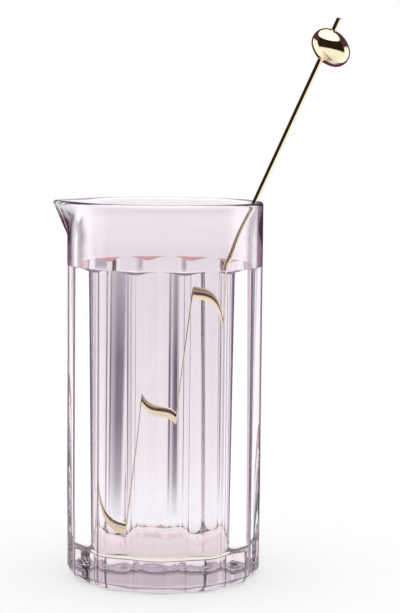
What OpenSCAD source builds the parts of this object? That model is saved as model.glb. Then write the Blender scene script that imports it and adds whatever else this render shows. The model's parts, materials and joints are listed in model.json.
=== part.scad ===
// Cocktail pitcher of pressed glass with a stirrer leaning in it.
// Origin: centre of the base's underside, on the axis of the glass. +Z is up and -X is the spout's side.
// Lengths are in millimetres.

/* [Glass outside] */
// Height of the glass
glass_h = 193; // [150:1:240]
// Diameter of the plain band
glass_d = 100; // [85:1:130]
// Height of the plain band under the rim
band_h = 32.5; // [26:0.5:45]
// Number of lobes round the body
lobe_count = 12; // [10:1:16]
// Radius of the round valleys between the lobes
hollow_r = 9.35; // [5:0.05:12]
// How far the crests of the lobes stand back from the band
crest_step = 0.2; // [0.2:0.1:1.5]
// Depth of the valleys between the lobes, in from the band
valley_depth = 3.25; // [2.5:0.05:4.5]
// Fall of the ledge under the band, from the band to the valleys
ledge_fall = 2; // [1:0.5:5]
// Rounding of the lobes into the underside
foot_r = 5; // [3:0.5:7]

/* [Glass inside] */
// Wall of the band at the rim
rim_wall = 3; // [2.4:0.1:4]
// Wall behind the band's face where the bore begins, under the neck
bore_wall = 4.8; // [4.5:0.1:7]
// Wall at the inner floor
floor_wall = 7; // [5:0.5:12]
// Height over which the mouth narrows into the bore
neck_h = 20; // [12:1:28]
// Depth of the neck's lower end, down from the band's edge
neck_drop = 2.5; // [0:0.5:6]
// Thickness of the solid base
base_t = 15; // [10:1:30]
// Rounding of the bore into the inner floor
floor_r = 5.5; // [2:0.5:12]

/* [Spout] */
// Reach of the spout beyond the band
spout_reach = 8; // [4:0.5:14]
// Height of the spout's keel, down from the rim
spout_drop = 18.5; // [12:0.5:24]
// Wall of the spout along its centre line
spout_wall = 3.4; // [2.6:0.1:4.5]
// Height of the pouring channel, down from the rim
channel_drop = 14; // [8:0.5:18]
// Radius of the spout's tip, seen from above
tip_r = 2; // [1.2:0.1:3]

/* [Stirrer] */
// Overall length of the stirrer
stirrer_l = 296.5; // [250:0.5:330]
// Diameter of the rod
rod_d = 2.5; // [2:0.1:4]
// Diameter of the bead
bead_d = 21.6; // [14:0.1:28]
// Height of the bead along its own axis
bead_t = 16.4; // [10:0.1:22]
// Tilt of the bead's axis from the rod's line, in degrees
bead_lean = 20.5; // [0:0.5:30]
// How far the bead's middle sits beside the rod's line
bead_shift = 2.3; // [0:0.1:4]
// Length of rod that stands out above the bead
stub_l = 7.2; // [3:0.1:12]
// Clearance of the stirrer's tip from the rounding of the inner floor
tip_gap = 0.8; // [0.5:0.1:15]
// Where the tip stands, in degrees from +X
tip_turn = -163; // [-180:0.5:-120]
// Where the rod leans on the rim, in degrees from +X
lean_turn = -10; // [-20:0.5:20]

/* [Hidden] */

// Fineness of round forms, and of the few that are blended by a hull
$fn = 96;
hull_fn = 32;
// Overrun of every cut past the face that it leaves
over = 1;
// Gap between the stirrer and the glass where it rests
rest_gap = 0.3;
// Gap round the rod inside the bead, filled by the joint's solder
solder_gap = 0.02;
// How far the valleys' circles reach into the lobes', so that they cross instead of only touching
valley_bite = 0.01;
// How far the spout's blend starts inside the band's face
spout_sink = 0.25;
// Radius of the bead's waist, as a share of half its height
waist_share = 0.86;

// Glass, derived
band_r = glass_d / 2;
band_z = glass_h - band_h;
rim_r = rim_wall / 2;
mouth_r = band_r - rim_wall;
bore_r = band_r - bore_wall;
floor_out = band_r - floor_wall;
floor_z = base_t + floor_r;
neck_z = band_z - neck_drop;
crest_r = band_r - crest_step;
valley_r = band_r - valley_depth;
half_lobe = 180 / lobe_count;
// The valleys' circles have their centres outside the glass, and each touches the lobes on both its sides
valley_out = valley_r + hollow_r;
lobe_r = (crest_r * crest_r + valley_out * valley_out - hollow_r * hollow_r
  - 2 * valley_out * crest_r * cos(half_lobe)) / (2 * (crest_r - valley_out * cos(half_lobe) + hollow_r));
lobe_out = crest_r - lobe_r;
// Where a lobe's circle turns into a valley's
turn_share = lobe_r / (lobe_r + hollow_r);
turn_x = lobe_out + (valley_out * cos(half_lobe) - lobe_out) * turn_share;
turn_y = valley_out * sin(half_lobe) * turn_share;
turn_r = norm([turn_x, turn_y]);
turn_angle = atan2(turn_y, turn_x);
turn_heading = atan2(turn_y, turn_x - lobe_out);
// The cutting circle of a valley, and how far along a lobe it reaches past the turn
valley_cut = hollow_r + valley_bite;
turn_spare = sqrt(2 * valley_bite * hollow_r / (lobe_r * (lobe_r + hollow_r))) * 90 / PI;

// Spout, derived
spout_tip = band_r + spout_reach - tip_r;
spout_turn = acos(band_r / (band_r + spout_reach));
channel_tip = band_r + spout_reach - spout_wall - tip_r;
channel_turn = acos(mouth_r / (band_r + spout_reach - spout_wall));

// Stirrer, derived: the line from the resting tip to the place where the rod leans on the rim
rod_r = rod_d / 2;
bead_z = stirrer_l - stub_l - bead_t / 2;
bead_r = bead_d / 2;
waist_r = waist_share * bead_t / 2;
waist_out = bead_r - waist_r;
waist_up = bead_t / 2 - waist_r;
cap_sink = (waist_out * waist_out - waist_up * waist_up) / (2 * waist_up);
cap_r = cap_sink + bead_t / 2;
cap_reach = waist_out * cap_r / (cap_r - waist_r);
tip_z = base_t + rest_gap;
tip_out = floor_out - floor_r - rod_r - tip_gap;
lean_r = mouth_r - rest_gap - rod_r;
tip_at = [tip_out * cos(tip_turn), tip_out * sin(tip_turn), tip_z];
lean_at = [lean_r * cos(lean_turn), lean_r * sin(lean_turn), glass_h - rim_r];
lean_way = lean_at - tip_at;
lean_tilt = acos(lean_way.z / norm(lean_way));
lean_heading = atan2(lean_way.y, lean_way.x);

glass_tint = [0.91, 0.84, 0.90, 0.45];
gold_tint = [0.86, 0.74, 0.50];

// Repeats its children once for each lobe, the first one under the spout
module each_lobe() {
  for (i = [0 : lobe_count - 1]) rotate([0, 0, 180 + 2 * i * half_lobe]) children();
}

// Repeats its children once for each valley
module each_valley() {
  for (i = [0 : lobe_count - 1]) rotate([0, 0, 180 + (2 * i + 1) * half_lobe]) children();
}

// Seen from above: round lobes that run smoothly into round valleys
module lobed_outline() {
  difference() {
    union() {
      polygon([
        for (i = [0 : lobe_count - 1], side = [-1, 1])
          let (turn = 180 + 2 * i * half_lobe + side * turn_angle) [turn_r * cos(turn), turn_r * sin(turn)]
      ]);
      each_lobe() translate([lobe_out, 0]) circle(lobe_r);
    }
    each_valley() translate([valley_out, 0]) circle(valley_cut);
  }
}

// What one lobe is short of a straight column at its rounded foot
module lobe_relief() {
  foot_in = lobe_r - foot_r;
  spread = turn_heading + turn_spare;
  translate([lobe_out, 0, 0])
    rotate([0, 0, -spread])
      rotate_extrude(angle = 2 * spread)
        difference() {
          translate([foot_in, -over]) square([foot_r + over, foot_r + over]);
          translate([foot_in, foot_r]) circle(foot_r);
        }
}

// What one valley is short of a straight hollow at its rounded foot
module valley_relief() {
  translate([valley_out, 0, 0])
    rotate_extrude()
      difference() {
        translate([valley_cut - over, -over]) square([foot_r + over, foot_r + over]);
        translate([valley_cut + foot_r, foot_r]) circle(foot_r);
      }
}

// Lobed body on its rounded foot
module lobed_body() {
  difference() {
    linear_extrude(band_z) lobed_outline();
    each_lobe() lobe_relief();
    each_valley() valley_relief();
  }
}

// Plain band with its rounded outer rim and the sloped ledge under it
module band() {
  translate([0, 0, band_z - ledge_fall])
    cylinder(h = ledge_fall, r1 = valley_r - crest_step, r2 = band_r);
  rotate_extrude() {
    translate([0, band_z]) square([band_r, band_h - rim_r]);
    translate([0, band_z]) square([band_r - rim_r, band_h]);
    translate([band_r - rim_r, glass_h - rim_r]) circle(rim_r);
  }
}

// A slice of a ring's face, as wide as the spout that springs from it
module spring_arc(r, turn, z, h) {
  intersection() {
    translate([0, 0, z]) cylinder(h = h, r = r, $fn = hull_fn * 3);
    translate([0, 0, z])
      linear_extrude(h)
        polygon([[0, 0], [-2 * r * cos(turn), 2 * r * sin(turn)], [-2 * r * cos(turn), -2 * r * sin(turn)]]);
  }
}

// Outside of the spout: a beak with upright sides and a keel that runs back into the band
module spout_outside() {
  hull() {
    spring_arc(band_r - spout_sink, spout_turn, glass_h - spout_drop, spout_drop - rim_r);
    translate([-spout_tip, 0, glass_h - rim_r]) cylinder(h = rim_r / 2, r = tip_r, $fn = hull_fn);
    spring_arc(band_r - spout_sink - rim_r, spout_turn, glass_h - rim_r, rim_r);
    translate([-spout_tip, 0, glass_h - rim_r]) cylinder(h = rim_r, r = tip_r - rim_r / 2, $fn = hull_fn);
  }
}

// Pouring channel through the spout, wider at the top so that its edge is eased
module spout_channel() {
  hull() {
    spring_arc(mouth_r - spout_sink, channel_turn, glass_h - channel_drop, channel_drop);
    spring_arc(mouth_r + rim_r / 2, channel_turn, glass_h + over, over);
    translate([-channel_tip, 0, glass_h - rim_r]) cylinder(h = rim_r / 2, r = tip_r, $fn = hull_fn);
    translate([-channel_tip, 0, glass_h + over]) cylinder(h = over, r = tip_r + rim_r / 2, $fn = hull_fn);
  }
}

// Inside of the glass: a rounded floor, a bore with a little draft, a neck and the wide mouth
module cavity() {
  rotate_extrude() {
    polygon([
      [0, floor_z],
      [floor_out, floor_z],
      [bore_r, neck_z],
      [mouth_r, neck_z + neck_h],
      [mouth_r, glass_h + over],
      [0, glass_h + over]
    ]);
    translate([0, base_t]) square([floor_out - floor_r, floor_r + over]);
    translate([floor_out - floor_r, floor_z]) circle(floor_r);
    difference() {
      translate([0, glass_h - rim_r]) square([mouth_r + rim_r, rim_r + over]);
      translate([mouth_r + rim_r, glass_h - rim_r]) circle(rim_r);
    }
  }
}

module glass_pitcher() {
  color(glass_tint)
    difference() {
      union() {
        lobed_body();
        band();
        spout_outside();
      }
      cavity();
      spout_channel();
    }
}

// Stands a piece drawn along +Z on the stirrer's line
module on_stirrer() {
  translate(tip_at) rotate([0, 0, lean_heading]) rotate([0, lean_tilt, 0]) children();
}

module stirrer_rod() {
  color(gold_tint)
    on_stirrer()
      rotate_extrude() {
        translate([0, rod_r]) square([rod_r, stirrer_l - rod_r - rod_r / 2]);
        intersection() {
          translate([0, rod_r]) circle(rod_r);
          square([rod_r, rod_r]);
        }
        translate([0, stirrer_l - rod_r / 2]) square([rod_r / 2, rod_r / 2]);
        intersection() {
          translate([rod_r / 2, stirrer_l - rod_r / 2]) circle(rod_r / 2);
          translate([0, stirrer_l - rod_r]) square([rod_r, rod_r]);
        }
      }
}

module stirrer_bead() {
  color(gold_tint)
    on_stirrer()
      difference() {
        translate([bead_shift, 0, bead_z]) rotate([0, bead_lean, 0]) bead_form();
        cylinder(h = stirrer_l + over, r = rod_r + solder_gap);
      }
}

// Half of the bead's section: shallow caps above and below that run into a fuller waist
module bead_form() {
  rotate_extrude() {
    intersection() {
      translate([0, -cap_sink]) circle(cap_r);
      translate([0, cap_sink]) circle(cap_r);
      translate([0, -bead_t / 2]) square([cap_reach, bead_t]);
    }
    intersection() {
      translate([waist_out, 0]) circle(waist_r);
      translate([0, -bead_t / 2]) square([bead_r, bead_t]);
    }
  }
}

glass_pitcher();
stirrer_rod();
stirrer_bead();
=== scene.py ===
"""Dresses the cocktail pitcher: a pressed glass with a lobed body, and a pale gold stirrer leaning in it."""

import json
import math

import bpy
from bpy.props import FloatProperty, IntProperty, PointerProperty, StringProperty
from mathutils import Matrix, Vector


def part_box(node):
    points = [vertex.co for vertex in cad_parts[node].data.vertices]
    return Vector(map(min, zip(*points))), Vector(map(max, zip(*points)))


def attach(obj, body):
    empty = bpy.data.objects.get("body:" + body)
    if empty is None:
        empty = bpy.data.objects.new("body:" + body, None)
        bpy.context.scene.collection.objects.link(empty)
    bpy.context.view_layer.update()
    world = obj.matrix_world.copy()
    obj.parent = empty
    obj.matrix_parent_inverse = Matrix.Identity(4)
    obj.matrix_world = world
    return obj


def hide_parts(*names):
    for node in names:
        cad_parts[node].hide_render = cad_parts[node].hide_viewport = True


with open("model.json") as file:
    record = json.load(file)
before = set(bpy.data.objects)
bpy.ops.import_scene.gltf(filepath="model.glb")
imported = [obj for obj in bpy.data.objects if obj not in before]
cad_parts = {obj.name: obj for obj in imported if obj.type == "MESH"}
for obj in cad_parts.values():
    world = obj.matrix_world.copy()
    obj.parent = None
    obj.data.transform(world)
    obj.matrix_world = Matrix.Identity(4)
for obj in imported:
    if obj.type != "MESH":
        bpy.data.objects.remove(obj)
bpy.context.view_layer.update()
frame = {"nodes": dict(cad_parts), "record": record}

bl_info = {
    "name": "Cocktail Pitcher",
    "version": (1, 0, 0),
    "blender": (4, 5, 0),
    "location": "View3D > Sidebar > Pitcher",
    "description": "Makes a pressed-glass pitcher with a lobed body, its stirrer and a white studio",
    "category": "Object",
}

MM = 0.001
MATH = "ShaderNodeMath"
glass_low, glass_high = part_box("glass_pitcher")
BAND_RADIUS = (glass_high.y - glass_low.y) / 2
GLASS_HEIGHT = glass_high.z
SPOUT_REACH = -glass_low.x - BAND_RADIUS

# What each point of the glass's section carries besides its place: how far it follows the lobes, how
# many metres the foot draws it in, how far it falls with the ledge, whether it is outside (1) or in the
# bore (0), and how far out it lies on a flat face
SECTION_FACTS = ("lobed", "inset", "ledge", "outer", "spread")

# Rows of faces in the glass's section, from the underside's centre to the inner floor's centre
UNDERSIDE_SPREADS = (0, 0.3, 0.6, 0.85, 0.97)
FOOT_ROWS = 12
BODY_ROWS = 4
LEDGE_SHARES = (1, 0.66, 0.33)
CREST_ROWS = 4
BAND_ROWS = 6
SPOUT_ROWS = 18
RIM_ROWS = 14
NECK_ROWS = 16
BORE_ROWS = 8
FLOOR_ROWS = 16
FLOOR_SPREADS = (0.85, 0.6, 0.3, 0)
WELD_DISTANCE = 0.001 * MM
GLASS_SHARP_ANGLE = math.radians(28)

# Rows of faces in the bead's section, over each cap and round the waist
CAP_ROWS = 20
WAIST_ROWS = 24

# Glass: painted shade on its edges, a dark plum in place of the dark surroundings that grazing faces would
# show, comes in between two values of Layer Weight's Facing, on faces that stand upright.
# EDGE_LEVEL is the normal's height from which it starts, and the lower one where it is full
GLASS_IOR = 1.52
EDGE_FACING = (0.56, 0.68)
EDGE_LEVEL = (0.6, 0.3)

# Light that has been mirrored more often than this in the glass is spent, and light that has passed more
# faces than this is in the far wall. Spent light is given painted light in fixed colours. Above a height a
# little under the band, the far wall's painted light is rose
SPENT_MIRRORINGS = 3.5
FAR_WALL_PASSES = 2.5
PAINTED_ROSE_FROM = GLASS_HEIGHT - 43 * MM

# Haze of handling on the gold
HAZE_SCALE = 180.0
HAZE_DETAIL = 3.0
HAZE_ROUGHNESS = (0.05, 0.09)

# Floor: its glow besides the light on it, a little more where the eye or a mirror sees it straight, and
# its level through glass, where it is painted light: an even glow with no shadow, a little darker and
# warmer right under the glass. COLOUR_END is where its colour through glass has turned, in radii of the
# band, and FADE_START is where it starts to fade out, as a share of its reach
FLOOR_GLOW = 0.4
FLOOR_GLOW_STRAIGHT = 0.05
FLOOR_PAINTED_LEVEL_IN_GLASS = 1.135
FLOOR_COLOUR_END = 1.5
FLOOR_FADE_START = 0.35
FLOOR_SIDES = 96

# The studio that gloss and glass see. Turns are angles from straight behind the object, +Y, towards +X.
# Heights run from -1, straight down, over 0, level, to 1, straight up. Levels are brightness, 1 for white
LOW_HEIGHT = (-0.12, -0.27)
LOW_LEVEL = (1.10, 1.15, 1.11, 1.0)
TOP_HEIGHT = (0.08, 0.4)
TURN_SOFT = math.radians(3)
FLAG_TURN = (math.radians(-28), math.radians(-17))
FLAG_HEIGHT = (-0.24, -0.09)
FLAG_SOFT = 0.06
BACK_TURN = (math.radians(-39), math.radians(39))
BACK_HEIGHT = (0.01, 0.68)
SCREEN_TURN = (math.radians(41), math.radians(86))
SCREEN_SOFT = math.radians(2)
SCREEN_TOP = (0.3, 0.2)
SCREEN_LEVEL = 1.35
ROOM_SIDE = (0.1, -0.1)
ROOM_HEIGHT = (-0.2, 0.2)
ROOM_SOFT = 0.05
ROOM_HEIGHT_MIRRORED = (-0.2, 0.68)
MIRRORED_SOFT = 0.03
OVERHEAD_HEIGHT = (0.65, 0.71)
OVERHEAD_LEVEL = 1.6

SENSOR_WIDTH = 36


class GlassShape(bpy.types.PropertyGroup):
    """Sizes of the glass"""

    band_height: FloatProperty(
        name="Band Height", default=32.5 * MM, unit="LENGTH",
        description="Height of the plain band under the rim",
    )
    lobe_count: IntProperty(
        name="Lobes", default=12, min=8, max=16,
        description="Number of lobes round the body",
    )
    hollow_radius: FloatProperty(
        name="Hollow Radius", default=9.35 * MM, unit="LENGTH",
        description="Radius of the round valleys",
    )
    valley_depth: FloatProperty(
        name="Valley Depth", default=3.25 * MM, unit="LENGTH",
        description="Depth of the valleys, in from the band",
    )
    crest_step: FloatProperty(
        name="Crest Step", default=0.04 * MM, unit="LENGTH",
        description="How far the crests stand back from the band",
    )
    ledge_fall: FloatProperty(
        name="Ledge Fall", default=2 * MM, unit="LENGTH",
        description="Fall of the ledge from the band to the valleys",
    )
    foot_radius: FloatProperty(
        name="Foot Radius", default=5 * MM, unit="LENGTH",
        description="Rounding of the lobes into the underside",
    )
    foot_round: FloatProperty(
        name="Foot Round", default=0.5,
        description="Share of the foot's rounding that the valleys are spared",
    )
    rim_wall: FloatProperty(
        name="Rim Wall", default=3 * MM, unit="LENGTH",
        description="Wall of the band at the rim",
    )
    bore_wall: FloatProperty(
        name="Bore Wall", default=4.5 * MM, unit="LENGTH",
        description="Wall of the band under the neck",
    )
    floor_wall: FloatProperty(
        name="Floor Wall", default=7 * MM, unit="LENGTH",
        description="Wall at the inner floor",
    )
    neck_height: FloatProperty(
        name="Neck Height", default=22 * MM, unit="LENGTH",
        description="Height over which the mouth narrows under the rim",
    )
    base_thickness: FloatProperty(
        name="Base Thickness", default=15 * MM, unit="LENGTH",
        description="Thickness of the solid base",
    )
    floor_radius: FloatProperty(
        name="Floor Radius", default=5.5 * MM, unit="LENGTH",
        description="Rounding of the bore into the inner floor",
    )
    steps_around: IntProperty(
        name="Steps Around", default=720, min=96, max=720,
        description="Faces round the glass",
    )


class SpoutShape(bpy.types.PropertyGroup):
    """Sizes of the spout"""

    drop: FloatProperty(
        name="Keel Drop", default=18.5 * MM, unit="LENGTH",
        description="Height of the keel, down from the rim",
    )
    channel_drop: FloatProperty(
        name="Channel Drop", default=14 * MM, unit="LENGTH",
        description="Height of the channel, down from the rim",
    )
    wall: FloatProperty(
        name="Wall", default=3.4 * MM, unit="LENGTH",
        description="Wall along the spout's centre",
    )
    tip_radius: FloatProperty(
        name="Tip Radius", default=2 * MM, unit="LENGTH",
        description="Radius of the tip seen from above",
    )


class BeadShape(bpy.types.PropertyGroup):
    """Sizes of the stirrer's bead"""

    diameter: FloatProperty(
        name="Diameter", default=21.6 * MM, unit="LENGTH",
        description="Diameter of the bead",
    )
    thickness: FloatProperty(
        name="Thickness", default=16.4 * MM, unit="LENGTH",
        description="Height along the bead's own axis",
    )
    lean: FloatProperty(
        name="Lean", default=math.radians(20.5), subtype="ANGLE",
        description="Tilt of the bead's axis from the rod",
    )
    waist_share: FloatProperty(
        name="Waist Share", default=0.86,
        description="Radius of the waist, as a share of half the thickness",
    )
    steps_around: IntProperty(
        name="Steps Around", default=144, min=48, max=360,
        description="Faces round the bead",
    )


class Finishes(bpy.types.PropertyGroup):
    """Colours and finishes"""

    glass_face: StringProperty(
        name="Glass Face", default="FAF5F9",
        description="sRGB colour of one thin wall of glass",
    )
    glass_tint: StringProperty(
        name="Glass Depth", default="D8B0C0",
        description="sRGB colour that deep glass turns to",
    )
    glass_depth: FloatProperty(
        name="Tint Density", default=4.0, min=0.0,
        description="How fast the tint deepens, per metre of glass",
    )
    # Painted shade: a dark plum put on the glass's edges in place of the dark surroundings they would show
    glass_edge_painted_shade: StringProperty(
        name="Glass Edge", default="6E4A62",
        description="sRGB colour of glass seen edge on",
    )
    # Painted light: fixed colours given to light trapped in the glass, in place of what it would show
    glass_caught: StringProperty(
        name="Glass Caught", default="AAABB2",
        description="sRGB colour of light that has turned often in the glass",
    )
    glass_painted_rose: StringProperty(
        name="Glass Blush", default="B89494",
        description="sRGB colour of light caught in the far wall at the band",
    )
    glass_far: StringProperty(
        name="Glass Far", default="F6EAF0",
        description="sRGB colour of light caught in the far wall under the band",
    )
    gold: StringProperty(
        name="Gold", default="F0E2C2",
        description="sRGB colour of the plated stirrer",
    )
    backdrop: StringProperty(
        name="Backdrop", default="FFFFFF",
        description="sRGB colour that the glass shows behind it",
    )
    backdrop_top: StringProperty(
        name="Backdrop Top", default="8C828E",
        description="sRGB colour of the backdrop above",
    )
    flag: StringProperty(
        name="Flag", default="74697C",
        description="sRGB colour of the flag at the left of the backdrop, which the lobes pick up",
    )
    dark_back: StringProperty(
        name="Dark Back", default="5A3849",
        description="sRGB colour that the glass's edges and the gold mirror from behind",
    )
    dark_room: StringProperty(
        name="Dark Room", default="2A1E16",
        description="sRGB colour of the room at the camera's side, as gloss and glass see it",
    )
    floor_matt: StringProperty(
        name="Floor", default="C8C8C8",
        description="sRGB colour of the matt floor",
    )
    # Painted light: the floor's colours through glass, an even glow, a little darker and warmer right under
    # the glass
    floor_painted_near: StringProperty(
        name="Floor Near", default="EDEBE2",
        description="sRGB colour of the floor right under the glass, seen through glass",
    )
    floor_painted_far: StringProperty(
        name="Floor Far", default="F6FFFC",
        description="sRGB colour of the floor round the glass, seen through glass",
    )


class StudioShape(bpy.types.PropertyGroup):
    """Places of the camera and the floor"""

    floor_reach: FloatProperty(
        name="Floor Reach", default=260 * MM, unit="LENGTH",
        description="How far the floor reaches from the glass",
    )
    floor_gap: FloatProperty(
        name="Floor Gap", default=0.2 * MM, unit="LENGTH",
        description="Air under the polished underside",
    )
    distance: FloatProperty(
        name="Distance", default=977 * MM, unit="LENGTH",
        description="Camera from the glass's axis",
    )
    height: FloatProperty(
        name="Height", default=237 * MM, unit="LENGTH",
        description="Camera above the floor",
    )
    azimuth: FloatProperty(
        name="Azimuth", default=math.radians(3.1), subtype="ANGLE",
        description="Camera's turn round the glass",
    )
    pan: FloatProperty(
        name="Pan", default=math.radians(1.06), subtype="ANGLE",
        description="Camera's turn past the axis",
    )
    pitch: FloatProperty(
        name="Pitch", default=math.radians(5.73), subtype="ANGLE",
        description="Camera's tilt down",
    )
    roll: FloatProperty(
        name="Roll", default=math.radians(0.514), subtype="ANGLE",
        description="Camera's roll",
    )
    lens: FloatProperty(
        name="Lens", default=172.1,
        description="Focal length on a 36 mm wide sensor, in mm",
    )


def linear(hex_colour):
    """An sRGB hex colour as linear red, green, blue and full alpha."""
    channels = [int(hex_colour[i : i + 2], 16) / 255 for i in (0, 2, 4)]
    return tuple(c / 12.92 if c <= 0.04045 else ((c + 0.055) / 1.055) ** 2.4 for c in channels) + (1.0,)


def add(tree, kind, inputs=(), **settings):
    """Adds a node with its settings, and fills its inputs with values, sockets or nodes' first outputs."""
    node = tree.nodes.new(kind)
    for name, value in settings.items():
        setattr(node, name, value)
    pairs = inputs.items() if isinstance(inputs, dict) else enumerate(inputs)
    for key, value in pairs:
        if isinstance(value, bpy.types.Node):
            value = value.outputs[0]
        if isinstance(value, bpy.types.NodeSocket):
            tree.links.new(value, node.inputs[key])
        else:
            node.inputs[key].default_value = value
    return node


def ramp(tree, value, start, end):
    """0 until a value reaches the start, 1 from the end on, and even between. Either may be the higher."""
    return add(tree, "ShaderNodeMapRange", {"Value": value, "From Min": start, "From Max": end})


def span(tree, value, low, high, soft):
    """1 where a value lies between low and high, with a soft edge at both ends, and 0 elsewhere."""
    up = ramp(tree, value, low - soft, low + soft)
    down = ramp(tree, value, high + soft, high - soft)
    return add(tree, MATH, (up, down), operation="MULTIPLY")


def mixed_colour(tree, share, first, second):
    """A colour from the first to the second by a share. A Mix node's colours are its inputs 6 and 7."""
    return add(tree, "ShaderNodeMix", {0: share, 6: first, 7: second}, data_type="RGBA").outputs[2]


def mixed_value(tree, share, first, second):
    """A value from the first to the second by a share. A Mix node's values are its inputs 2 and 3."""
    return add(tree, "ShaderNodeMix", {0: share, 2: first, 3: second}, data_type="FLOAT")


def new_material(name):
    """An empty node material."""
    material = bpy.data.materials.new(name)
    material.use_nodes = True
    material.node_tree.nodes.clear()
    return material


def tinted_glass(finishes):
    """Soda-lime glass, pressed and fire-polished: clear faces, with the tint in its depth, painted shade on
    its edges, and painted light in place of the light it traps.
    """
    material = new_material("Pressed glass, lavender pink")
    tree = material.node_tree
    # Painted shade on the edges: upright faces seen at a grazing angle turn dark plum
    facing = add(tree, "ShaderNodeLayerWeight", {"Blend": 0.5}).outputs["Facing"]
    painted_edge_shade = ramp(tree, facing, *EDGE_FACING)
    geometry = add(tree, "ShaderNodeNewGeometry").outputs
    normal = add(tree, "ShaderNodeSeparateXYZ", (geometry["Normal"],)).outputs
    level = add(tree, MATH, (normal["Z"],), operation="ABSOLUTE")
    upright = ramp(tree, level, *EDGE_LEVEL)
    painted_edge_shade = add(tree, MATH, (painted_edge_shade, upright), operation="MULTIPLY")
    colour = mixed_colour(tree, painted_edge_shade, linear(finishes.glass_face), linear(finishes.glass_edge_painted_shade))
    surface = add(
        tree, "ShaderNodeBsdfPrincipled",
        {"Base Color": colour, "Roughness": 0.0, "IOR": GLASS_IOR, "Transmission Weight": 1.0},
    )
    depth = add(
        tree, "ShaderNodeVolumeAbsorption",
        {"Color": linear(finishes.glass_tint), "Density": finishes.glass_depth},
    )

    # Spent light, which would come out black, goes straight on as painted light in a colour of its own: grey
    # in the near wall, and pale or rose in the far wall
    path = add(tree, "ShaderNodeLightPath").outputs
    spent = add(tree, MATH, (path["Glossy Depth"], SPENT_MIRRORINGS), operation="GREATER_THAN")
    behind = add(tree, MATH, (path["Transmission Depth"], FAR_WALL_PASSES), operation="GREATER_THAN")
    coordinate = add(tree, "ShaderNodeTexCoord").outputs
    place = add(tree, "ShaderNodeSeparateXYZ", (coordinate["Object"],)).outputs
    in_band = add(tree, MATH, (place["Z"], PAINTED_ROSE_FROM), operation="GREATER_THAN")
    far_wall = mixed_colour(tree, in_band, linear(finishes.glass_far), linear(finishes.glass_painted_rose))
    caught = mixed_colour(tree, behind, linear(finishes.glass_caught), far_wall)
    out = add(tree, "ShaderNodeBsdfTransparent", {"Color": caught})
    glass = add(tree, "ShaderNodeMixShader", (spent, surface, out))
    add(tree, "ShaderNodeOutputMaterial", {"Surface": glass, "Volume": depth})
    return material


def plated_gold(finishes):
    """Pale gold plate on brass, mirror-polished, with the faint haze of handling."""
    material = new_material("Pale gold plate, polished")
    tree = material.node_tree
    place = add(tree, "ShaderNodeTexCoord").outputs["Object"]
    haze = add(tree, "ShaderNodeTexNoise", {"Vector": place, "Scale": HAZE_SCALE, "Detail": HAZE_DETAIL})
    least, most = HAZE_ROUGHNESS
    rough = add(tree, "ShaderNodeMapRange", {"Value": haze, "To Min": least, "To Max": most})
    surface = add(
        tree, "ShaderNodeBsdfPrincipled",
        {"Base Color": linear(finishes.gold), "Metallic": 1.0, "Roughness": rough},
    )
    add(tree, "ShaderNodeOutputMaterial", {"Surface": surface})
    return material


def arc(centre, radius, start, end, steps):
    """Points on an arc in the section, from one angle to the other in degrees, both ends included."""
    turns = [math.radians(start + (end - start) * i / steps) for i in range(steps + 1)]
    return [(centre[0] + radius * math.cos(t), centre[1] + radius * math.sin(t)) for t in turns]


def rise(low, high, steps):
    """Evenly spaced heights from low to high, both ends included."""
    return [low + (high - low) * i / steps for i in range(steps + 1)]


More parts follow.
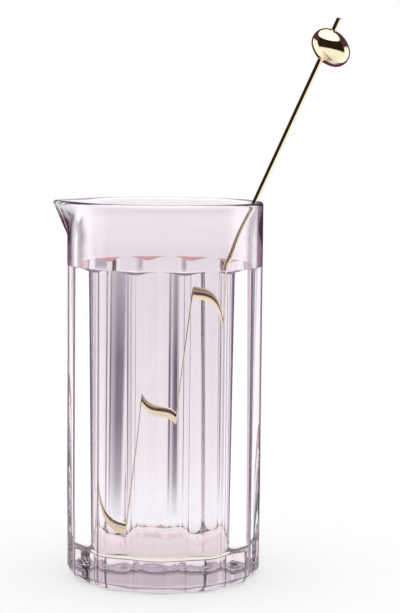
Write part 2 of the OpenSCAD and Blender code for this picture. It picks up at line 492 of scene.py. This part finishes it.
def glass_section(shape, spout):
    """The glass's section, from the underside's centre up the outside and down the bore to the inner floor.

    Each point is its radius, its height and then the SECTION_FACTS."""
    band_z = GLASS_HEIGHT - shape.band_height
    rim_r = shape.rim_wall / 2
    mouth_r = BAND_RADIUS - shape.rim_wall
    foot = shape.foot_radius
    points = []
    for spread in UNDERSIDE_SPREADS:
        points.append((BAND_RADIUS, 0, 1, foot, 0, 1, spread))
    for inward, height in arc((0, foot), foot, 270, 360, FOOT_ROWS):
        points.append((BAND_RADIUS, height, 1, foot - inward, 0, 1, 1))
    for height in rise(foot, band_z - shape.ledge_fall - shape.crest_step, BODY_ROWS)[1:]:
        points.append((BAND_RADIUS, height, 1, 0, 0, 1, 1))
    for share in LEDGE_SHARES:
        points.append((BAND_RADIUS - shape.crest_step, band_z, share, 0, share, 1, 1))
    crest_centre = (BAND_RADIUS - shape.crest_step, band_z + shape.crest_step)
    for radius, height in arc(crest_centre, shape.crest_step, 270, 360, CREST_ROWS):
        points.append((radius, height, 0, 0, 0, 1, 1))
    for height in rise(band_z + shape.crest_step, GLASS_HEIGHT - spout.drop, BAND_ROWS)[1:]:
        points.append((BAND_RADIUS, height, 0, 0, 0, 1, 1))
    for height in rise(GLASS_HEIGHT - spout.drop, GLASS_HEIGHT - rim_r, SPOUT_ROWS)[1:]:
        points.append((BAND_RADIUS, height, 0, 0, 0, 1, 1))
    rim_centre = (BAND_RADIUS - rim_r, GLASS_HEIGHT - rim_r)
    for radius, height in arc(rim_centre, rim_r, 0, 180, RIM_ROWS)[1:]:
        points.append((radius, height, 0, 0, 0, (radius - mouth_r) / shape.rim_wall, 1))
    neck_z = GLASS_HEIGHT - rim_r - shape.neck_height
    bore_r = BAND_RADIUS - shape.bore_wall
    floor_out = BAND_RADIUS - shape.floor_wall
    floor_z = shape.base_thickness + shape.floor_radius
    inside = []
    for share in rise(0, 1, NECK_ROWS)[1:]:
        eased = share * share * (3 - 2 * share)
        inside.append((mouth_r + (bore_r - mouth_r) * eased, neck_z + shape.neck_height * (1 - share)))
    for share in rise(0, 1, BORE_ROWS)[1:]:
        inside.append((bore_r + (floor_out - bore_r) * share, neck_z + (floor_z - neck_z) * share))
    floor_edge = floor_out - shape.floor_radius
    inside += arc((floor_edge, floor_z), shape.floor_radius, 0, -90, FLOOR_ROWS)[1:]
    for radius, height in inside:
        points.append((radius, height, 0, 0, 0, 0, 1))
    for spread in FLOOR_SPREADS:
        points.append((floor_edge, shape.base_thickness, 0, 0, 0, 0, spread))
    return points


def section_object(points):
    """The glass's object, which is first its section: a line in the XZ plane with the facts as attributes."""
    mesh = bpy.data.meshes.new("glass_section")
    edges = [(i, i + 1) for i in range(len(points) - 1)]
    mesh.from_pydata([(p[0], 0, p[1]) for p in points], edges, [])
    for place, name in enumerate(SECTION_FACTS):
        values = mesh.attributes.new(name, "FLOAT", "POINT").data
        for i, p in enumerate(points):
            values[i].value = p[2 + place]
    obj = bpy.data.objects.new("glass_pressed", mesh)
    bpy.context.scene.collection.objects.link(obj)
    return obj


def socket(tree, name, kind="NodeSocketFloat", way="INPUT"):
    """Adds a named socket to a node group."""
    return tree.interface.new_socket(name, in_out=way, socket_type=kind)


def spout_outline():
    """Node group: radius of a round wall that runs out to a spout's tip, by its turn and height."""
    tree = bpy.data.node_groups.new("Spout outline", "GeometryNodeTree")
    for name in ("Angle", "Height", "Round Radius", "Reach", "Top", "Drop", "Tip Radius"):
        socket(tree, name)
    socket(tree, "Radius", way="OUTPUT")
    given = add(tree, "NodeGroupInput").outputs
    start = add(tree, MATH, (given["Top"], given["Drop"]), operation="SUBTRACT")
    above = add(tree, MATH, (given["Height"], start), operation="SUBTRACT")
    share = add(tree, MATH, (above, given["Drop"]), operation="DIVIDE", use_clamp=True)
    out = add(tree, MATH, (share, given["Reach"], given["Round Radius"]), operation="MULTIPLY_ADD")
    centre = add(tree, MATH, (out, given["Tip Radius"]), operation="SUBTRACT")
    side = add(tree, MATH, (given["Round Radius"], given["Tip Radius"]), operation="SUBTRACT")
    ratio = add(tree, MATH, (side, centre), operation="DIVIDE", use_clamp=True)
    turn = add(tree, MATH, (ratio,), operation="ARCCOSINE")
    off = add(tree, MATH, (given["Angle"],), operation="ABSOLUTE")
    past = add(tree, MATH, (turn, off), operation="SUBTRACT")
    past = add(tree, MATH, (past, 0.0), operation="MAXIMUM")
    bend = add(tree, MATH, (past,), operation="COSINE")
    flank = add(tree, MATH, (given["Round Radius"], bend), operation="DIVIDE")
    turn_sine = add(tree, MATH, (turn,), operation="SINE")
    turn_cosine = add(tree, MATH, (turn,), operation="COSINE")
    rise_y = add(tree, MATH, (given["Tip Radius"], turn_sine), operation="MULTIPLY")
    rise_x = add(tree, MATH, (given["Tip Radius"], turn_cosine, centre), operation="MULTIPLY_ADD")
    meet = add(tree, MATH, (rise_y, rise_x), operation="ARCTAN2")
    off_sine = add(tree, MATH, (off,), operation="SINE")
    off_cosine = add(tree, MATH, (off,), operation="COSINE")
    across = add(tree, MATH, (centre, off_sine), operation="MULTIPLY")
    along = add(tree, MATH, (centre, off_cosine), operation="MULTIPLY")
    across_square = add(tree, MATH, (across, across), operation="MULTIPLY")
    tip_square = add(tree, MATH, (given["Tip Radius"], given["Tip Radius"]), operation="MULTIPLY")
    left = add(tree, MATH, (tip_square, across_square), operation="SUBTRACT")
    root = add(tree, MATH, (left,), operation="SQRT")
    tip = add(tree, MATH, (along, root), operation="ADD")
    at_tip = add(tree, MATH, (off, meet), operation="LESS_THAN")
    radius = add(
        tree, "GeometryNodeSwitch", {"Switch": at_tip, "False": flank, "True": tip}, input_type="FLOAT"
    )
    add(tree, "NodeGroupOutput", {"Radius": radius})
    return tree


def far_side(tree, distance, turn, radius, side):
    """Distance from the axis to a circle that stands off it: its far side for 1, and its near side for -1."""
    sine = add(tree, MATH, (turn,), operation="SINE")
    cosine = add(tree, MATH, (turn,), operation="COSINE")
    across = add(tree, MATH, (distance, sine), operation="MULTIPLY")
    along = add(tree, MATH, (distance, cosine), operation="MULTIPLY")
    across = add(tree, MATH, (across, across), operation="MULTIPLY")
    square = add(tree, MATH, (radius, radius), operation="MULTIPLY")
    left = add(tree, MATH, (square, across), operation="SUBTRACT")
    root = add(tree, MATH, (left,), operation="SQRT")
    return add(tree, MATH, (root, side, along), operation="MULTIPLY_ADD")


def pressed_glass():
    """Node group: sweeps the section round the axis, shapes the lobes and pulls the spout."""
    tree = bpy.data.node_groups.new("Pressed glass", "GeometryNodeTree")
    socket(tree, "Section", "NodeSocketGeometry")
    socket(tree, "Material", "NodeSocketMaterial")
    socket(tree, "Steps Around", "NodeSocketInt")
    for name in (
        "Lobe Count", "Lobe Radius", "Lobe Distance", "Valley Arc", "Valley Distance", "Valley Radius",
        "Band Radius", "Ledge Fall", "Mouth Radius", "Height", "Spout Reach", "Spout Drop", "Channel Reach",
        "Channel Drop", "Tip Radius", "Foot Round",
    ):
        socket(tree, name)
    socket(tree, "Glass", "NodeSocketGeometry", "OUTPUT")
    given = add(tree, "NodeGroupInput").outputs
    section = given["Section"]

    # A grid with a row for each point of the section, and a column for each step round the glass
    counted = add(tree, "GeometryNodeAttributeDomainSize", {"Geometry": section}, component="MESH")
    rows = counted.outputs["Point Count"]
    tall = add(tree, MATH, (rows, 1.0), operation="SUBTRACT")
    columns = add(tree, MATH, (given["Steps Around"], 1.0), operation="ADD")
    grid = add(
        tree, "GeometryNodeMeshGrid",
        {"Size X": 1.0, "Size Y": tall, "Vertices X": columns, "Vertices Y": rows},
    )
    here = add(tree, "ShaderNodeSeparateXYZ", (add(tree, "GeometryNodeInputPosition"),)).outputs
    half = add(tree, MATH, (tall, 0.5), operation="MULTIPLY")
    row = add(tree, MATH, (here["Y"], half), operation="ADD")
    row = add(tree, MATH, (row,), operation="ROUND")
    angle = add(tree, MATH, (here["X"], 2 * math.pi), operation="MULTIPLY")

    place = add(
        tree, "GeometryNodeSampleIndex",
        {"Geometry": section, "Value": add(tree, "GeometryNodeInputPosition"), "Index": row},
        data_type="FLOAT_VECTOR", domain="POINT",
    )
    place = add(tree, "ShaderNodeSeparateXYZ", (place,)).outputs
    fact = {}
    for name in SECTION_FACTS:
        value = add(tree, "GeometryNodeInputNamedAttribute", {"Name": name}, data_type="FLOAT")
        fact[name] = add(
            tree, "GeometryNodeSampleIndex", {"Geometry": section, "Value": value, "Index": row},
            data_type="FLOAT", domain="POINT",
        )

    # Lobes and valleys: a round lobe runs smoothly into a round valley, where the two circles touch
    pitch = add(tree, MATH, (math.pi, given["Lobe Count"]), operation="DIVIDE")
    other = add(tree, MATH, (pitch, -1.0), operation="MULTIPLY")
    wrapped = add(tree, MATH, (angle, pitch, other), operation="WRAP")
    off = add(tree, MATH, (wrapped,), operation="ABSOLUTE")
    pitch_sine = add(tree, MATH, (pitch,), operation="SINE")
    pitch_cosine = add(tree, MATH, (pitch,), operation="COSINE")
    both = add(tree, MATH, (given["Lobe Radius"], given["Valley Arc"]), operation="ADD")
    share = add(tree, MATH, (given["Lobe Radius"], both), operation="DIVIDE")
    reach = add(tree, MATH, (given["Valley Distance"], pitch_cosine), operation="MULTIPLY")
    reach = add(tree, MATH, (reach, given["Lobe Distance"]), operation="SUBTRACT")
    reach = add(tree, MATH, (reach, share, given["Lobe Distance"]), operation="MULTIPLY_ADD")
    aside = add(tree, MATH, (given["Valley Distance"], pitch_sine), operation="MULTIPLY")
    aside = add(tree, MATH, (aside, share), operation="MULTIPLY")
    turn = add(tree, MATH, (aside, reach), operation="ARCTAN2")
    lobe = far_side(tree, given["Lobe Distance"], off, given["Lobe Radius"], 1.0)
    from_valley = add(tree, MATH, (pitch, off), operation="SUBTRACT")
    valley = far_side(tree, given["Valley Distance"], from_valley, given["Valley Arc"], -1.0)
    in_lobe = add(tree, MATH, (off, turn), operation="LESS_THAN")
    lobe = add(
        tree, "GeometryNodeSwitch", {"Switch": in_lobe, "False": valley, "True": lobe}, input_type="FLOAT"
    )

    # Ledge: falls with the distance that the lobe stands back from the band
    back = add(tree, MATH, (given["Band Radius"], lobe), operation="SUBTRACT")
    deepest = add(tree, MATH, (given["Band Radius"], given["Valley Radius"]), operation="SUBTRACT")
    share = add(tree, MATH, (back, deepest), operation="DIVIDE")
    fall = add(tree, MATH, (share, given["Ledge Fall"]), operation="MULTIPLY")

    # Foot: draws the lobes in by the whole rounding, and the valleys by less, for a nearly round underside
    drawn = add(tree, MATH, (share, given["Foot Round"]), operation="MULTIPLY")
    drawn = add(tree, MATH, (1.0, drawn), operation="SUBTRACT")
    drawn = add(tree, MATH, (drawn, fact["inset"]), operation="MULTIPLY")
    lobe = add(tree, MATH, (lobe, drawn), operation="SUBTRACT")
    fall = add(tree, MATH, (fall, fact["ledge"]), operation="MULTIPLY")
    height = add(tree, MATH, (place["Z"], fall), operation="SUBTRACT")

    # Spout: the outside and the channel run out to their own tips, and the rim between them shares both
    outline = spout_outline()
    outside = add(
        tree, "GeometryNodeGroup",
        {
            "Angle": angle, "Height": place["Z"], "Round Radius": given["Band Radius"],
            "Reach": given["Spout Reach"], "Top": given["Height"], "Drop": given["Spout Drop"],
            "Tip Radius": given["Tip Radius"],
        },
        node_tree=outline,
    )
    channel = add(
        tree, "GeometryNodeGroup",
        {
            "Angle": angle, "Height": place["Z"], "Round Radius": given["Mouth Radius"],
            "Reach": given["Channel Reach"], "Top": given["Height"], "Drop": given["Channel Drop"],
            "Tip Radius": given["Tip Radius"],
        },
        node_tree=outline,
    )
    out_shift = add(tree, MATH, (outside, given["Band Radius"]), operation="SUBTRACT")
    in_shift = add(tree, MATH, (channel, given["Mouth Radius"]), operation="SUBTRACT")
    shift = mixed_value(tree, fact["outer"], in_shift, out_shift)

    # Each point of the grid goes out by its radius. Its turn counts from the spout, which points to -X
    radius = mixed_value(tree, fact["lobed"], place["X"], lobe)
    radius = add(tree, MATH, (radius, fact["spread"]), operation="MULTIPLY")
    radius = add(tree, MATH, (radius, shift), operation="ADD")
    x = add(tree, MATH, (add(tree, MATH, (angle,), operation="COSINE"), radius), operation="MULTIPLY")
    y = add(tree, MATH, (add(tree, MATH, (angle,), operation="SINE"), radius), operation="MULTIPLY")
    x = add(tree, MATH, (x, -1.0), operation="MULTIPLY")
    y = add(tree, MATH, (y, -1.0), operation="MULTIPLY")
    moved = add(tree, "ShaderNodeCombineXYZ", (x, y, height))
    shaped = add(tree, "GeometryNodeSetPosition", {"Geometry": grid, "Position": moved})
    closed = add(tree, "GeometryNodeMergeByDistance", {"Geometry": shaped, "Distance": WELD_DISTANCE})
    smooth = add(tree, "GeometryNodeSetShadeSmooth", {"Geometry": closed})
    real = add(tree, "GeometryNodeRealizeInstances", {"Geometry": smooth})
    finished = add(tree, "GeometryNodeSetMaterial", {"Geometry": real, "Material": given["Material"]})
    add(tree, "NodeGroupOutput", {"Glass": finished})
    return tree


def lobe_radius(crest, distance, hollow, half):
    """Radius of round lobes that touch the valleys' circles, whose centres stand a distance from the axis."""
    along = distance * math.cos(half)
    return (crest**2 + distance**2 - hollow**2 - 2 * along * crest) / (2 * (crest - along + hollow))


def run_tree(obj, tree, values):
    """Runs a geometry node tree on an object with its named inputs, and keeps the result as a plain mesh."""
    modifier = obj.modifiers.new(tree.name, "NODES")
    modifier.node_group = tree
    for item in tree.interface.items_tree:
        if item.item_type == "SOCKET" and item.in_out == "INPUT" and item.name in values:
            modifier[item.identifier] = values[item.name]
    obj.update_tag()
    evaluated = obj.evaluated_get(bpy.context.evaluated_depsgraph_get())
    mesh = bpy.data.meshes.new_from_object(evaluated)
    obj.modifiers.remove(modifier)
    obj.data = mesh
    return obj


class PITCHER_OT_glass(bpy.types.Operator):
    """Press the glass: band, spout, lobes and thick base as one piece"""

    bl_idname = "pitcher.glass"
    bl_label = "Press Glass"

    def execute(self, context):
        shape, spout = context.scene.glass_shape, context.scene.spout_shape
        crest = BAND_RADIUS - shape.crest_step
        valley = BAND_RADIUS - shape.valley_depth
        hollow = shape.hollow_radius
        lobe = lobe_radius(crest, valley + hollow, hollow, math.pi / shape.lobe_count)
        mouth = BAND_RADIUS - shape.rim_wall
        material = tinted_glass(context.scene.finishes)
        glass = run_tree(
            section_object(glass_section(shape, spout)),
            pressed_glass(),
            {
                "Material": material,
                "Steps Around": shape.steps_around,
                "Lobe Count": float(shape.lobe_count),
                "Lobe Radius": lobe,
                "Lobe Distance": crest - lobe,
                "Valley Arc": hollow,
                "Valley Distance": valley + hollow,
                "Valley Radius": valley,
                "Band Radius": BAND_RADIUS,
                "Ledge Fall": shape.ledge_fall,
                "Foot Round": shape.foot_round,
                "Mouth Radius": mouth,
                "Height": GLASS_HEIGHT,
                "Spout Reach": SPOUT_REACH,
                "Spout Drop": spout.drop,
                "Channel Reach": BAND_RADIUS + SPOUT_REACH - spout.wall - mouth,
                "Channel Drop": spout.channel_drop,
                "Tip Radius": spout.tip_radius,
            },
        )
        glass.data.set_sharp_from_angle(angle=GLASS_SHARP_ANGLE)
        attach(glass, "pitcher")
        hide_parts("glass_pitcher")
        return {"FINISHED"}


def bead_section(shape):
    """Half of the bead's section from top to bottom: shallow caps that run into a fuller waist."""
    half = shape.thickness / 2
    waist = shape.waist_share * half
    out = shape.diameter / 2 - waist
    up = half - waist
    sink = (out * out - up * up) / (2 * up)
    meet = math.degrees(math.atan2(sink, out))
    top = arc((0, -sink), half + sink, 90, meet, CAP_ROWS)
    side = arc((out, 0), waist, meet, -meet, WAIST_ROWS)[1:]
    return top + side + arc((0, sink), half + sink, -meet, -90, CAP_ROWS)[1:]


def turned_bead(shape, centre, axis):
    """The bead as a closed turned form round its own axis."""
    section = bead_section(shape)
    count = shape.steps_around
    turns = [2 * math.pi * i / count for i in range(count)]
    points, faces = [(0, 0, section[0][1])], []
    for radius, height in section[1:-1]:
        points += [(radius * math.cos(t), radius * math.sin(t), height) for t in turns]
    points.append((0, 0, section[-1][1]))
    last = len(points) - 1
    for i in range(count):
        after = (i + 1) % count
        faces.append((0, 1 + i, 1 + after))
        faces.append((last, last - count + after, last - count + i))
        for row in range(len(section) - 3):
            upper, lower = 1 + row * count, 1 + (row + 1) * count
            faces.append((upper + i, lower + i, lower + after, upper + after))
    mesh = bpy.data.meshes.new("stirrer_bead_turned")
    mesh.from_pydata(points, [], faces)
    lean = Vector((0, 0, 1)).rotation_difference(axis).to_matrix().to_4x4()
    mesh.transform(Matrix.Translation(centre) @ lean)
    mesh.shade_smooth()
    bead = bpy.data.objects.new("stirrer_bead_turned", mesh)
    bpy.context.scene.collection.objects.link(bead)
    return bead


class PITCHER_OT_stirrer(bpy.types.Operator):
    """Turn the stirrer's bead, and finish it and the rod in polished pale gold"""

    bl_idname = "pitcher.stirrer"
    bl_label = "Plate Stirrer"

    def execute(self, context):
        material = plated_gold(context.scene.finishes)
        for place in frame["nodes"]["stirrer_rod"].material_slots:
            place.material = material
        shape = context.scene.bead_shape
        low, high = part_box("stirrer_bead")
        rod_way = Vector(frame["record"]["behaviour"]["joints"][0]["axis"])
        tip_over = Vector((0, 0, 1)).cross(rod_way).normalized()
        bead_way = Matrix.Rotation(shape.lean, 3, tip_over) @ rod_way
        bead = turned_bead(shape, (low + high) / 2, bead_way)
        bead.data.materials.append(material)
        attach(bead, "stirrer")
        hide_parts("stirrer_bead")
        return {"FINISHED"}


def white_floor(finishes, reach):
    """Matt white studio floor with the object's soft shadow on it, which fades into the white round it."""
    material = new_material("Studio floor, matt white")
    tree = material.node_tree
    seen = add(tree, "ShaderNodeLightPath").outputs
    straight = add(tree, MATH, (seen["Is Camera Ray"], seen["Is Reflection Ray"]), operation="MAXIMUM")
    lift = add(tree, MATH, (straight, FLOOR_GLOW_STRAIGHT, FLOOR_GLOW), operation="MULTIPLY_ADD")
    matt = add(tree, "ShaderNodeBsdfDiffuse", {"Color": linear(finishes.floor_matt)})
    glow = add(tree, "ShaderNodeEmission", {"Color": linear("FFFFFF"), "Strength": lift})
    shaded = add(tree, "ShaderNodeAddShader", (matt, glow))
    # Seen through glass, the floor is painted light instead of lit: an even glow with no shadow, a little
    # darker and warmer right under the glass
    place = add(tree, "ShaderNodeTexCoord").outputs["Object"]
    away = add(tree, "ShaderNodeVectorMath", (place,), operation="LENGTH").outputs["Value"]
    clear_of_glass = ramp(tree, away, BAND_RADIUS, BAND_RADIUS * FLOOR_COLOUR_END)
    painted_tone = mixed_colour(tree, clear_of_glass, linear(finishes.floor_painted_near), linear(finishes.floor_painted_far))
    even = add(tree, "ShaderNodeEmission", {"Color": painted_tone, "Strength": FLOOR_PAINTED_LEVEL_IN_GLASS})
    both = add(tree, "ShaderNodeMixShader", (seen["Is Transmission Ray"], shaded, even))
    fade = add(
        tree, "ShaderNodeMapRange",
        {"Value": away, "From Min": reach * FLOOR_FADE_START, "From Max": reach},
        interpolation_type="SMOOTHSTEP",
    )
    clear = add(tree, "ShaderNodeBsdfTransparent")
    faded = add(tree, "ShaderNodeMixShader", (fade, both, clear))
    add(tree, "ShaderNodeOutputMaterial", {"Surface": faded})
    return material


def even_white(level):
    """White of a level, where 1 is plain white."""
    return (level, level, level, 1.0)


def studio_world(finishes):
    """White all round for the eye and for light, with a backdrop, screens and a room for gloss and glass."""
    world = bpy.data.worlds.new("White studio")
    world.use_nodes = True
    tree = world.node_tree
    tree.nodes.clear()
    coordinate = add(tree, "ShaderNodeTexCoord").outputs
    way = add(tree, "ShaderNodeSeparateXYZ", (coordinate["Generated"],)).outputs
    round_turn = add(tree, MATH, (way["X"], way["Y"]), operation="ARCTAN2")
    side_turn = add(tree, MATH, (round_turn,), operation="ABSOLUTE")
    seen = add(tree, "ShaderNodeLightPath").outputs

    # Glass shows a white backdrop that is brighter below and greys above, with a grey flag at the left
    low = ramp(tree, way["Z"], *LOW_HEIGHT)
    above = ramp(tree, way["Z"], *TOP_HEIGHT)
    flag = span(tree, round_turn, *FLAG_TURN, TURN_SOFT)
    flag_high = span(tree, way["Z"], *FLAG_HEIGHT, FLAG_SOFT)
    flag = add(tree, MATH, (flag, flag_high), operation="MULTIPLY")

    # Mirrored light that isn't spent sees a dark back between the screens and over the horizon
    level = span(tree, way["Z"], *BACK_HEIGHT, MIRRORED_SOFT)
    behind = span(tree, round_turn, *BACK_TURN, TURN_SOFT)
    dark_back = add(tree, MATH, (level, behind), operation="MAXIMUM")
    fresh = add(tree, MATH, (seen["Glossy Depth"], SPENT_MIRRORINGS), operation="LESS_THAN")
    mirrored = add(tree, MATH, (seen["Is Reflection Ray"], fresh), operation="MULTIPLY")
    dark_back = add(tree, MATH, (dark_back, mirrored), operation="MULTIPLY")

    # Bright screens stand at both sides, up to a height
    screens = span(tree, side_turn, *SCREEN_TURN, SCREEN_SOFT)
    screen_high = ramp(tree, way["Z"], *SCREEN_TOP)
    screens = add(tree, MATH, (screens, screen_high), operation="MULTIPLY")

    # The dark room closes the camera's side: low through glass, and up to the bright overhead in a mirror
    room = ramp(tree, way["Y"], *ROOM_SIDE)
    room_low = span(tree, way["Z"], *ROOM_HEIGHT, ROOM_SOFT)
    room_high = span(tree, way["Z"], *ROOM_HEIGHT_MIRRORED, MIRRORED_SOFT)
    room_high = add(tree, MATH, (room_high, seen["Is Reflection Ray"]), operation="MULTIPLY")
    room_level = add(tree, MATH, (room_low, room_high), operation="MAXIMUM")
    room = add(tree, MATH, (room, room_level), operation="MULTIPLY")
    overhead = ramp(tree, way["Z"], *OVERHEAD_HEIGHT)

    # Each covers the ones before it, and the eye and the floor's light have plain white all round instead
    colour = linear(finishes.backdrop)
    for share, other in (
        (low, LOW_LEVEL),
        (above, linear(finishes.backdrop_top)),
        (flag, linear(finishes.flag)),
        (dark_back, linear(finishes.dark_back)),
        (screens, even_white(SCREEN_LEVEL)),
        (room, linear(finishes.dark_room)),
        (overhead, even_white(OVERHEAD_LEVEL)),
    ):
        colour = mixed_colour(tree, share, colour, other)
    studio = add(tree, MATH, (seen["Is Glossy Ray"], seen["Is Transmission Ray"]), operation="MAXIMUM")
    colour = mixed_colour(tree, studio, linear("FFFFFF"), colour)
    light = add(tree, "ShaderNodeBackground", {"Color": colour, "Strength": 1.0})
    add(tree, "ShaderNodeOutputWorld", {"Surface": light})
    return world


class PITCHER_OT_studio(bpy.types.Operator):
    """Set the floor, the light and the camera"""

    bl_idname = "pitcher.studio"
    bl_label = "Set Studio"

    def execute(self, context):
        scene = context.scene
        shape = scene.studio_shape
        reach, gap = shape.floor_reach, shape.floor_gap
        turns = [2 * math.pi * i / FLOOR_SIDES for i in range(FLOOR_SIDES)]
        edge = [(reach * math.cos(t), reach * math.sin(t), -gap) for t in turns]
        mesh = bpy.data.meshes.new("studio_floor")
        mesh.from_pydata(edge, [], [range(FLOOR_SIDES)])
        floor = bpy.data.objects.new("studio_floor", mesh)
        mesh.materials.append(white_floor(scene.finishes, reach))
        scene.collection.objects.link(floor)
        scene.world = studio_world(scene.finishes)
        scene.view_settings.view_transform = "Standard"

        lens = bpy.data.cameras.new("camera")
        lens.sensor_fit = "HORIZONTAL"
        lens.sensor_width = SENSOR_WIDTH
        lens.lens = shape.lens
        camera = bpy.data.objects.new("camera", lens)
        scene.collection.objects.link(camera)
        turn = Matrix.Rotation(shape.azimuth, 4, "Z")
        place = turn @ Vector((0, -shape.distance, shape.height))
        aim = (
            Matrix.Rotation(shape.azimuth - shape.pan, 4, "Z")
            @ Matrix.Rotation(math.pi / 2 - shape.pitch, 4, "X")
            @ Matrix.Rotation(shape.roll, 4, "Z")
        )
        camera.matrix_world = Matrix.Translation(place) @ aim
        scene.camera = camera
        return {"FINISHED"}


class PITCHER_PT_panel(bpy.types.Panel):
    """The pitcher's sizes, finishes and steps"""

    bl_label = "Cocktail Pitcher"
    bl_space_type = "VIEW_3D"
    bl_region_type = "UI"
    bl_category = "Pitcher"

    def draw(self, context):
        for place in GROUPS:
            group = getattr(context.scene, place)
            box = self.layout.box()
            for name in group.bl_rna.properties.keys():
                if name not in ("rna_type", "name"):
                    box.prop(group, name)
        for step in STEPS:
            self.layout.operator(step.bl_idname)


GROUPS = {
    "glass_shape": GlassShape,
    "spout_shape": SpoutShape,
    "bead_shape": BeadShape,
    "finishes": Finishes,
    "studio_shape": StudioShape,
}
STEPS = (PITCHER_OT_glass, PITCHER_OT_stirrer, PITCHER_OT_studio)


def register():
    """Adds the classes, and the sizes and finishes to the scene."""
    for group in GROUPS.values():
        bpy.utils.register_class(group)
    for name, group in GROUPS.items():
        setattr(bpy.types.Scene, name, PointerProperty(type=group))
    for step in STEPS:
        bpy.utils.register_class(step)
    bpy.utils.register_class(PITCHER_PT_panel)


def unregister():
    """Takes away what register added."""
    bpy.utils.unregister_class(PITCHER_PT_panel)
    for step in reversed(STEPS):
        bpy.utils.unregister_class(step)
    for name in GROUPS:
        delattr(bpy.types.Scene, name)
    for group in reversed(GROUPS.values()):
        bpy.utils.unregister_class(group)


def main():
    """Makes every piece and the stage."""
    register()
    bpy.ops.pitcher.glass()
    bpy.ops.pitcher.stirrer()
    bpy.ops.pitcher.studio()


if __name__ == "__main__":
    main()
